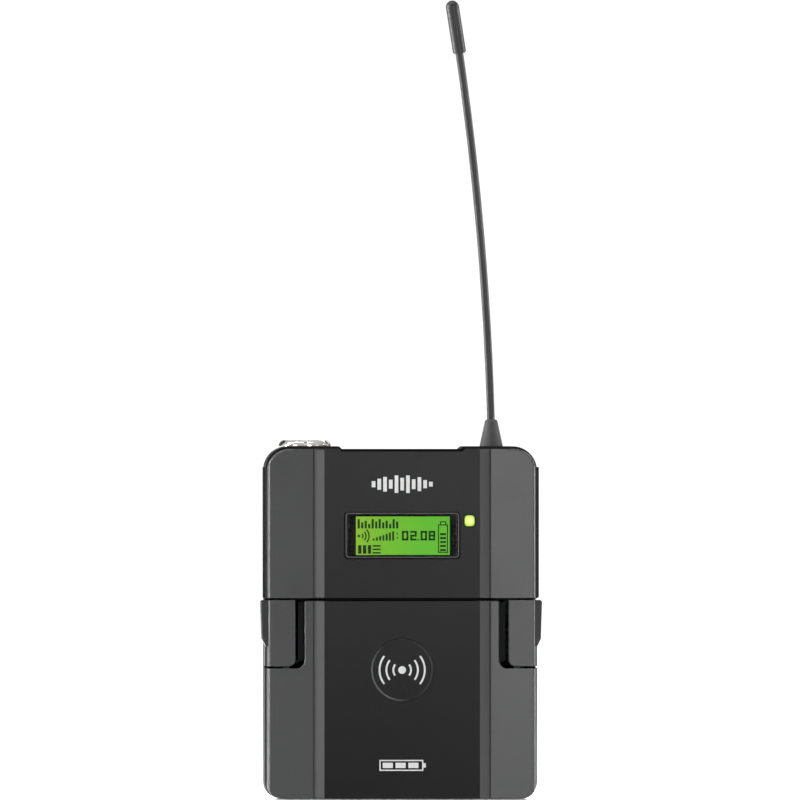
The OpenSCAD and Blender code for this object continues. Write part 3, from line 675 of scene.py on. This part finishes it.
def front_edges(x, y, z):
    """Radii on the upper cover, the door and the tabs, which share one front."""
    x = abs(x)
    raised = y < PANEL_FACE_Y
    if y >= RIM_Y:
        return 0
    # The lamp's seat, the window's opening, the dish, and the groove beside each strip, which stays sharp
    if near(x, 14.5, 18.7) and near(z, 66.5, 70.1):
        return 0.18 if raised else 0
    if x < 14.6 and near(z, 58.4, 71.1):
        return 0.2 if raised else 0
    if raised and math.hypot(x, z - DISH_Z) < 7.9:
        return 0.25
    if near(x, 21.45, 22.1) and y < -10.6:
        return 0
    # Round the tabs, then the outline at the sides, the top and the upper corners
    if near(x, 23, 31.9) and 31.5 < z < 60:
        return 0.3
    if x > 32.2 or z > 85.6 or x > 27.5 and z > 80 and math.hypot(x - 27.5, z - 80) > 5:
        return 0.55 if x > 26 else 0.2 if x < 16 else 0.35
    # The raised panel's own edges, above the foot
    if near(x, 18.9, 19.4) and y < -11.5 and z >= 1:
        return 0.15
    return 0.3


def all_round(r):
    return lambda x, y, z: r


rounded("front_cover", front_edges)
rounded("battery_door", front_edges)
rounded("left_tab", front_edges)
rounded("right_tab", front_edges)
rounded("rear_housing", lambda x, y, z: 0.12 if y > 20 or abs(y) < 5.4 and (abs(x) > 33 or z > 85.5) else 0,
        slot="black_plastic")
rounded("status_lamp", lambda x, y, z: 0.35 if y < -12 else 0)
rounded("socket_nut", all_round(0.1))
for n in ("socket_shell", "socket_insert", "aerial_base"):
    rounded(n, all_round(0.15))
rounded("aerial_boot", all_round(0.1), sharp=30, finish=BOOT_RUBBER)
for n in ("aerial_whip", "aerial_tip", "belt_clip", "aerial_lead", "socket_pins", "door_hinge_pins"):
    rounded(n, all_round(0.1), sharp=30)
for n in ("set_key", "up_key", "down_key", "power_slider", "infrared_window"):
    rounded(n, all_round(0.2), sharp=30)
for n in ("housing_screws", "power_switch", "key_switches", "rating_plate", "charge_contacts", "rf_shield"):
    rounded(n, all_round(0.08), sharp=30)
rounded("inner_panel", lambda x, y, z: 0.15 if y < -7.9 else 0, sharp=30, finish=MATT_BLACK)
rounded("battery_tray", lambda x, y, z: 0.25 if y < 2 else 0, sharp=30)


# ---------------------------------------------------------------- printed and set-in details of the front
def prisms(name, outlines, y0, y1, **where):
    """Several closed outlines of (x, z) in mm, each drawn out along Y, as one mesh."""
    verts, faces = [], []
    for line in outlines:
        k, m = len(verts), len(line)
        verts += [(x, y0, z) for x, z in line] + [(x, y1, z) for x, z in line]
        faces += [tuple(range(k, k + m)), tuple(range(k + 2 * m - 1, k + m - 1, -1))]
        faces += [(k + i, k + m + i, k + m + (i + 1) % m, k + (i + 1) % m) for i in range(m)]
    return make(name, verts, faces, smooth=False, **where)


def band(name, outer, inner, y0, y1, **where):
    """A flat frame between two outlines of (x, z) with the same number of points."""
    m = len(outer)
    verts = [(x, y, z) for y in (y0, y1) for line in (outer, inner) for x, z in line]
    faces = []
    for i in range(m):
        j = (i + 1) % m
        faces += [(i, j, m + j, m + i), (2 * m + j, 2 * m + i, 3 * m + i, 3 * m + j),
                  (j, i, 2 * m + i, 2 * m + j), (m + i, m + j, 3 * m + j, 3 * m + i)]
    return make(name, verts, faces, smooth=False, **where)


def rect(x0, x1, z0, z1):
    return [(x0, z0), (x1, z0), (x1, z1), (x0, z1)]


def outline_box(x, z, w, h, t=0.25):
    """The four bars of a hollow box whose lower left corner is at (x, z)."""
    return [rect(x, x + w, z, z + t), rect(x, x + w, z + h - t, z + h),
            rect(x, x + t, z + t, z + h - t), rect(x + w - t, x + w, z + t, z + h - t)]


def circle(r, steps):
    turns = [2 * math.pi * i / steps for i in range(steps)]
    return [(r * math.cos(a), r * math.sin(a)) for a in turns]


def disc(cx, cz, r):
    return [(cx + a, cz + b) for a, b in circle(r, 24)]


def round_rect(cx, cz, w, h, r, steps=6):
    line = []
    for k, (sx, sz) in enumerate(((1, -1), (1, 1), (-1, 1), (-1, -1))):
        for i in range(steps + 1):
            a = math.radians(-90 + 90 * k + 90 * i / steps)
            line.append((cx + sx * (w / 2 - r) + r * math.cos(a), cz + sz * (h / 2 - r) + r * math.sin(a)))
    return line


def arc(cx, cz, r0, r1, a0, a1, steps=16):
    """A curved stroke between two radii, from angle a0 to a1 in degrees from +X."""
    turns = [math.radians(a0 + (a1 - a0) * i / steps) for i in range(steps + 1)]
    return ([(cx + r1 * math.cos(a), cz + r1 * math.sin(a)) for a in turns]
            + [(cx + r0 * math.cos(a), cz + r0 * math.sin(a)) for a in reversed(turns)])


WIN_X, WIN_Z = 0.05, 64.85
WIN_BACK_Y = -11.0
PRINT_Y = (-12.015, -11.995)
DISH_PRINT_Y = (-11.615, -11.595)
LCD_Y = (-10.03, -9.99)


def pane(w, h, r):
    """An outline round the middle of the window."""
    return round_rect(WIN_X, WIN_Z, w, h, r)


# A black band round the lens, painted shade standing for the shaded gap between the lens and its opening
band("window_gap_shade", pane(28.46, 11.56, 0.95), pane(27.86, 10.94, 0.8), -11.72, WIN_BACK_Y,
     finish=MATT_BLACK)
# A grey band as a painted highlight on the lens edge
band("window_rim_highlight", pane(27.84, 10.92, 0.8), pane(27.6, 10.68, 0.7), -11.75, WIN_BACK_Y, slot="window",
     finish=LENS_HIGHLIGHT_GREY)
prisms("window_lens", [pane(27.58, 10.66, 0.7)], -11.65, -11.05, slot="window", replaced=["display_window"])
mask_hole = rect(-11.35, 11.75, 60.0, 69.45)
mask_out = rect(-14.0, 14.0, 59.2, 70.3)
band("window_mask", mask_out, mask_hole, -10.86, -10.82, finish=MATT_BLACK)

SEGMENTS = {"0": "abcdef", "2": "abged", "8": "abcdefg"}


def digit(shape, x, z, w=1.6, h=2.35, t=0.47):
    """The strokes of one seven-segment figure whose lower left corner is at (x, z)."""
    middle = z + h / 2
    strokes = {
        "a": rect(x, x + w, z + h - t, z + h),
        "b": rect(x + w - t, x + w, middle, z + h),
        "c": rect(x + w - t, x + w, z, middle),
        "d": rect(x, x + w, z, z + t),
        "e": rect(x, x + t, z, middle),
        "f": rect(x, x + t, middle, z + h),
        "g": rect(x, x + w, middle - t / 2, middle + t / 2),
    }
    return [strokes[k] for k in SEGMENTS[shape]]


def meter(x0, count, z0, heights, w=0.55, pitch=0.86):
    """Upright bars side by side, taking their heights in turn from a short list."""
    places = [x0 + i * pitch for i in range(count)]
    return [rect(x, x + w, z0, z0 + heights[i % len(heights)]) for i, x in enumerate(places)]


# Liquid-crystal figures: the channel number with its point and a colon
figures = []
for shape, x in (("0", 0.0), ("2", 2.05), ("0", 4.6), ("8", 6.6)):
    figures += digit(shape, x, 63.55)
figures.append(rect(3.95, 4.3, 63.55, 63.95))
figures += [rect(-1.3, -0.95, z, z + 0.4) for z in (64.0, 65.0)]
# A level meter at the top, radio waves and rising bars in the middle, blocks and lines at the foot
figures += meter(-10.9, 12, 66.5, (2.3, 1.5, 1.9, 1.1, 2.3, 1.7))
figures += [arc(-10.4, 64.65, r - 0.36, r, -42, 42, 8) for r in (1.0, 1.75, 2.5)]
figures.append(rect(-10.9, -10.3, 64.35, 64.95))
figures += meter(-7.2, 7, 63.5, (0.5, 0.8, 1.1, 1.4, 1.7, 2.0, 2.3), 0.5, 0.8)
figures += [rect(x, x + 0.85, 60.3, 62.4) for x in (-10.8, -9.6, -8.4)]
figures += [rect(-7.2, -5.2, z, z + 0.4) for z in (60.3, 61.15, 62.0)]
# A battery gauge at the right: its sides and ends, its raised pole and five bars of charge
figures += [rect(x, x + 0.27, 60.5, 67.5) for x in (8.9, 11.08)]
figures += [rect(9.17, 11.08, z, z + 0.27) for z in (60.5, 67.23)]
figures += [rect(x, x + 0.27, 67.5, 68.0) for x in (9.35, 10.65)]
figures.append(rect(9.35, 10.92, 68.0, 68.25))
figures += [rect(9.4, 10.85, z - 0.26, z + 0.26) for z in (61.2, 62.2, 63.15, 64.15, 65.1)]
prisms("lcd_figures", figures, *LCD_Y, slot="lcd", finish=INK_LCD)

band("lamp_ring", round_rect(LAMP_X, LAMP_Z, 2.95, 3.2, 0.9), round_rect(LAMP_X, LAMP_Z, 2.5, 2.75, 0.7),
     -12.03, -11.9, finish=MATT_BLACK)

# White print: an equaliser over the display, radio waves in the dish, a battery at the foot
LEVELS = (1.5, 2.7, 3.6, 2.2, 4.3, 3.1, 4.3, 2.4, 3.4, 2.0, 1.2)
LEVELS_Z = 77.4
bars = []
for i, h in enumerate(LEVELS):
    x = -7.5 + i * 1.41
    bars.append(rect(x, x + 0.9, LEVELS_Z - h / 2, LEVELS_Z + h / 2))
prisms("print_levels", bars, *PRINT_Y, slot="casing", finish=INK_WHITE)
waves = [arc(0, DISH_Z, r - 0.45, r, a - 38, a + 38) for r in (2.4, 4.1, 5.8) for a in (0, 180)]
waves.append(disc(0, DISH_Z, 0.95))
prisms("print_waves", waves, *DISH_PRINT_Y, body="battery_door", slot="casing", finish=INK_WHITE)
cell_sign = outline_box(-5.6, 6.9, 10.8, 2.7, 0.3)
cell_sign.append(rect(5.2, 5.8, 7.7, 8.8))
cell_sign += [rect(x, x + 2.5, 7.6, 8.9) for x in (-4.8, -1.65, 1.5)]
prisms("print_battery", cell_sign, *PRINT_Y, body="battery_door", slot="casing", finish=INK_WHITE)


def blocks(name, boxes, **where):
    """Blocks given as (x0, x1, y0, y1, z0, z1) in mm, with softened edges, as one mesh."""
    bm = bmesh.new()
    for x0, x1, y0, y1, z0, z1 in boxes:
        made = bmesh.ops.create_cube(bm, size=1)["verts"]
        for v in made:
            v.co = Vector((x0 if v.co.x < 0 else x1, y0 if v.co.y < 0 else y1, z0 if v.co.z < 0 else z1)) * MM
    bmesh.ops.bevel(bm, geom=bm.edges[:], offset=0.1 * MM, segments=2, profile=0.5, affect="EDGES")
    mesh = bpy.data.meshes.new(name)
    bm.to_mesh(mesh)
    bm.free()
    return add_piece(name, mesh, **where)


# Black blocks behind the seam as painted shade, darkening the gap from behind, and the back edges of the
# panel's two wings
blocks("seam_shade_blocks", [(-19, 19, -10.3, -9.6, 48.82, 50.2), (-30.6, -18.6, -8.1, -7.5, 48.95, 50.4),
                     (18.6, 30.6, -8.1, -7.5, 48.95, 50.4)], finish=MATT_BLACK)
blocks("wing_edges", [(-25.5, -24.7, 1.55, 3.2, 34.3, 49.1), (24.7, 25.5, 1.55, 3.2, 34.3, 49.1)])


# ---------------------------------------------------------------- batteries, springs and foam
def ring_quads(first, rings, m):
    """Quads from each ring of m points to the next, the first ring starting at vertex first."""
    starts = range(first, first + (rings - 1) * m, m)
    return [(k + i, k + (i + 1) % m, k + m + (i + 1) % m, k + m + i) for k in starts for i in range(m)]


def end_caps(first, rings, m):
    last = first + (rings - 1) * m
    return [tuple(range(first + m - 1, first - 1, -1)), tuple(range(last, last + m))]


def lathe(name, profile, place, steps=64, **where):
    """A profile of (u, r) in mm turned round its own axis. place(u, a, b) puts it: u along the axis,
    a and b across."""
    verts = [place(u, a, b) for u, r in profile for a, b in circle(r, steps)]
    return make(name, verts, ring_quads(0, len(profile), steps), sharp=40, merge=True, **where)


def tube(name, runs, r, sides=12, **where):
    """Round wires of radius r along lists of points, as one mesh."""
    verts, faces = [], []
    for run in runs:
        n = len(run)
        faces += ring_quads(len(verts), n, sides) + end_caps(len(verts), n, sides)
        for k, p in enumerate(run):
            way = (run[min(k + 1, n - 1)] - run[max(k - 1, 0)]).normalized()
            a = way.cross(Vector((1, 0, 0))).normalized()
            b = way.cross(a)
            verts += [p + a * u + b * v for u, v in circle(r, sides)]
    return make(name, verts, faces, **where)


def stack(name, rings, **where):
    """Closed skin through rings of equal numbers of points, each a list of (x, y, z)."""
    m = len(rings[0])
    faces = ring_quads(0, len(rings), m) + end_caps(0, len(rings), m)
    return make(name, [v for ring in rings for v in ring], faces, **where)


CELL_Y = -1.4
LOW_CELL_Z, HIGH_CELL_Z = 9.9, 25.3
CAN = [(-22.85, 0), (-22.85, 4.3), (-23.1, 4.7), (-23.1, 6.5), (-22.95, 6.9), (-22.6, 7.1), (-22.2, 7.1),
       (25.4, 7.05), (25.9, 6.8), (26.15, 6.3), (26.2, 5.7), (26.0, 5.3), (25.8, 5.0), (25.75, 3.0),
       (26.3, 2.75), (27.2, 2.7), (27.35, 2.6), (27.4, 2.3), (27.4, 0)]
WRAP = [(-22.3, 7.0), (-22.35, 7.2), (-22.2, 7.24), (25.2, 7.24), (25.7, 7.1), (26.05, 6.75), (26.2, 6.3),
        (26.1, 6.0), (-22.3, 7.0)]
for node, z, side in (("lower_cell", LOW_CELL_Z, 1), ("upper_cell", HIGH_CELL_Z, -1)):
    def along(u, a, b, z=z, side=side):
        return (u * side, CELL_Y + a, z + b)
    lathe(node + "_can", CAN, along, slot="cell_jacket")
    lathe(node + "_wrap", WRAP, along, slot="cell_jacket", replaced=[node], finish=JACKET[side])


def cone_coil(z, side, turns=4, steps=28):
    """From the contact plate to the cell's negative end, narrowing all the way."""
    start, reach, wide, narrow = -27.6, 4.2, 4.4, 2.2
    run = []
    for i in range(turns * steps + 1):
        f = i / (turns * steps)
        a = 2 * math.pi * i / steps
        r = wide + (narrow - wide) * f
        run.append(Vector(((start + reach * f) * side, CELL_Y + r * math.cos(a), z + r * math.sin(a))))
    return run


tube("battery_springs", [cone_coil(LOW_CELL_Z, 1), cone_coil(HIGH_CELL_Z, -1)], 0.3, slot="tinplate",
     replaced=["contact_springs"])

# The door's foam, as rings of (inset, y) that close in towards its crown
FOAM_W, FOAM_H, FOAM_R, FOAM_Z = 36, 6, 1.2, 17.6
CROWN = ((0, -10.4), (0, -9.7), (0.05, -9.45), (0.2, -9.2), (0.5, -9.02), (0.95, -8.93), (1.6, -8.88),
         (2.4, -8.86))
foam_rings = []
for inset, y in CROWN:
    line = round_rect(0, FOAM_Z, FOAM_W - 2 * inset, FOAM_H - 2 * inset, max(FOAM_R - inset, 0.25), 8)
    foam_rings.append([(x, y, z) for x, z in line])
stack("door_foam", foam_rings, body="battery_door", slot="foam", replaced=["door_pad"])


# ---------------------------------------------------------------- marks on the keys and the plate
# How far a printed mark stands off its face and reaches into it
MARK_OUT, MARK_IN = 0.012, 0.03


def span(node):
    """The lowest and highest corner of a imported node, in mm."""
    points = [v.co / MM for v in NODES[node].data.vertices]
    return [tuple(f(p[k] for p in points) for k in range(3)) for f in (min, max)]


def mark_key(node, outlines):
    (x0, y0, z0), (x1, _, z1) = span(node)
    cx, cz = (x0 + x1) / 2, (z0 + z1) / 2
    placed = [[(cx + x, cz + z) for x, z in line] for line in outlines]
    prisms(node + "_mark", placed, y0 - MARK_OUT, y0 + MARK_IN, body=BODY_OF[node], slot="key_grey",
           finish=INK_WHITE)


mark_key("up_key", [[(-1.1, -0.7), (1.1, -0.7), (0, 0.9)]])
mark_key("down_key", [[(1.1, 0.7), (-1.1, 0.7), (0, -0.9)]])
mark_key("set_key", [disc(0, 0, 0.75)])

# Two nested squares, and two cells, each with a cross beside its pole
plate_low, plate_high = span("rating_plate")
plate_x, plate_z = ((plate_low[k] + plate_high[k]) / 2 for k in (0, 2))
plate_y = plate_high[1]
signs = outline_box(plate_x - 8.2, plate_z - 2.4, 4.8, 4.8)
signs += outline_box(plate_x - 7.2, plate_z - 1.4, 2.8, 2.8)
for foot in (plate_z - 2.2, plate_z + 0.5):
    signs += outline_box(plate_x + 0.2, foot, 6.4, 1.8)
    signs.append(rect(plate_x + 6.6, plate_x + 7.1, foot + 0.5, foot + 1.3))
    signs.append(rect(plate_x + 4.6, plate_x + 5.8, foot + 0.8, foot + 1.0))
    signs.append(rect(plate_x + 5.1, plate_x + 5.3, foot + 0.5, foot + 1.3))
prisms("plate_signs", signs, plate_y - MARK_IN, plate_y + MARK_OUT, slot="plate_grey", finish=INK_WHITE)
